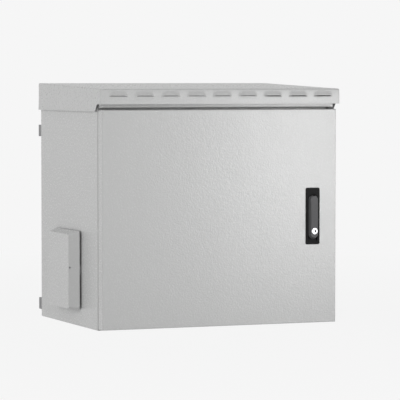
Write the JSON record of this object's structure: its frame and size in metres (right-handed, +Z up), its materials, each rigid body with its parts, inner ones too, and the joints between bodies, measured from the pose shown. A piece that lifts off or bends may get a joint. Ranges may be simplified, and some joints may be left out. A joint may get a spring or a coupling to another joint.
{
  "type": "outdoor rack cabinet",
  "caption": "Wall-mounted outdoor rack cabinet with a hinged door and swing handle, a sloped louvred roof, side weather hoods and 19-inch rails inside.",
  "frame": {"origin": "centre of the bounding box at the floor panel's underside", "axes": "+X to the right as seen from the front, +Y to the back wall, +Z up; the door faces -Y"},
  "size_m": [0.656, 0.4778, 0.5799],
  "materials": {
    "grey_powder_coat": "light grey powder coat with a fine orange-peel texture",
    "zinc_plated_steel": "dull zinc plating",
    "dark_bracket_steel": "dark passivated steel",
    "bright_steel": "plain bright steel",
    "black_die_cast": "black coated die casting",
    "grey_lever_coat": "dark grey coated die casting",
    "lock_chrome": "polished chrome",
    "black_plastic": "matt moulded plastic",
    "filter_foam": "coarse white filter fleece",
    "seal_foam": "foamed black seal"
  },
  "bodies": {
    "cabinet": {"side_wall_left": "grey_powder_coat", "side_wall_right": "grey_powder_coat", "rear_wall": "grey_powder_coat", "floor_panel": "grey_powder_coat", "top_panel": "grey_powder_coat", "roof_canopy": "grey_powder_coat", "vent_hood_left": "grey_powder_coat", "vent_hood_right": "grey_powder_coat", "gland_plate": "grey_powder_coat", "roof_spacers": "zinc_plated_steel", "hood_clips": "zinc_plated_steel", "rack_rail_left": "zinc_plated_steel", "rack_rail_right": "zinc_plated_steel", "rail_support_lower_left": "zinc_plated_steel", "rail_support_lower_right": "zinc_plated_steel", "rail_support_upper_left": "zinc_plated_steel", "rail_support_upper_right": "zinc_plated_steel", "hinge_arm_lower": "zinc_plated_steel", "hinge_arm_upper": "zinc_plated_steel", "earth_stud": "zinc_plated_steel", "wall_bracket_lower_left": "dark_bracket_steel", "wall_bracket_lower_right": "dark_bracket_steel", "wall_bracket_upper_left": "dark_bracket_steel", "wall_bracket_upper_right": "dark_bracket_steel", "hinge_pin_lower": "bright_steel", "hinge_pin_upper": "bright_steel", "fan_frame": "black_plastic", "filter_frame_left": "black_plastic", "filter_frame_right": "black_plastic", "filter_mat_left": "filter_foam", "filter_mat_right": "filter_foam"},
    "door": {"door_panel": "grey_powder_coat", "door_gasket": "seal_foam", "door_hinge_lower": "zinc_plated_steel", "door_hinge_upper": "zinc_plated_steel", "handle_base": "black_die_cast", "handle_clamps": "zinc_plated_steel"},
    "spindle": {"handle_spindle": "black_die_cast", "latch_cam": "zinc_plated_steel", "cam_nut": "bright_steel"},
    "lever": {"handle_lever": "grey_lever_coat", "lever_pin": "bright_steel", "lock_cylinder": "lock_chrome"},
    "lock_plug": {"lock_plug": "lock_chrome"},
    "fan_rotor": {"fan_rotor": "black_plastic"}
  },
  "joints": [
    {"name": "door_hinge", "type": "hinge", "parent": "cabinet", "child": "door", "pos_m": [-0.292, -0.2106, 0.26], "axis": [0, 0, -1], "range_deg": [0, 110]},
    {"name": "handle_turn", "type": "hinge", "parent": "door", "child": "spindle", "pos_m": [0.238, -0.2251, 0.3055], "axis": [0, 1, 0], "range_deg": [0, 90]},
    {"name": "lever_lift", "type": "hinge", "parent": "spindle", "child": "lever", "pos_m": [0.238, -0.2333, 0.3055], "axis": [-1, 0, 0], "range_deg": [0, 30]},
    {"name": "key_turn", "type": "hinge", "parent": "lever", "child": "lock_plug", "pos_m": [0.238, -0.2377, 0.2247], "axis": [0, 1, 0], "range_deg": [0, 90]},
    {"name": "fan_spin", "type": "hinge", "parent": "cabinet", "child": "fan_rotor", "pos_m": [0, 0.0139, 0.53], "axis": [0, 0, 1], "continuous": true}
  ]
}
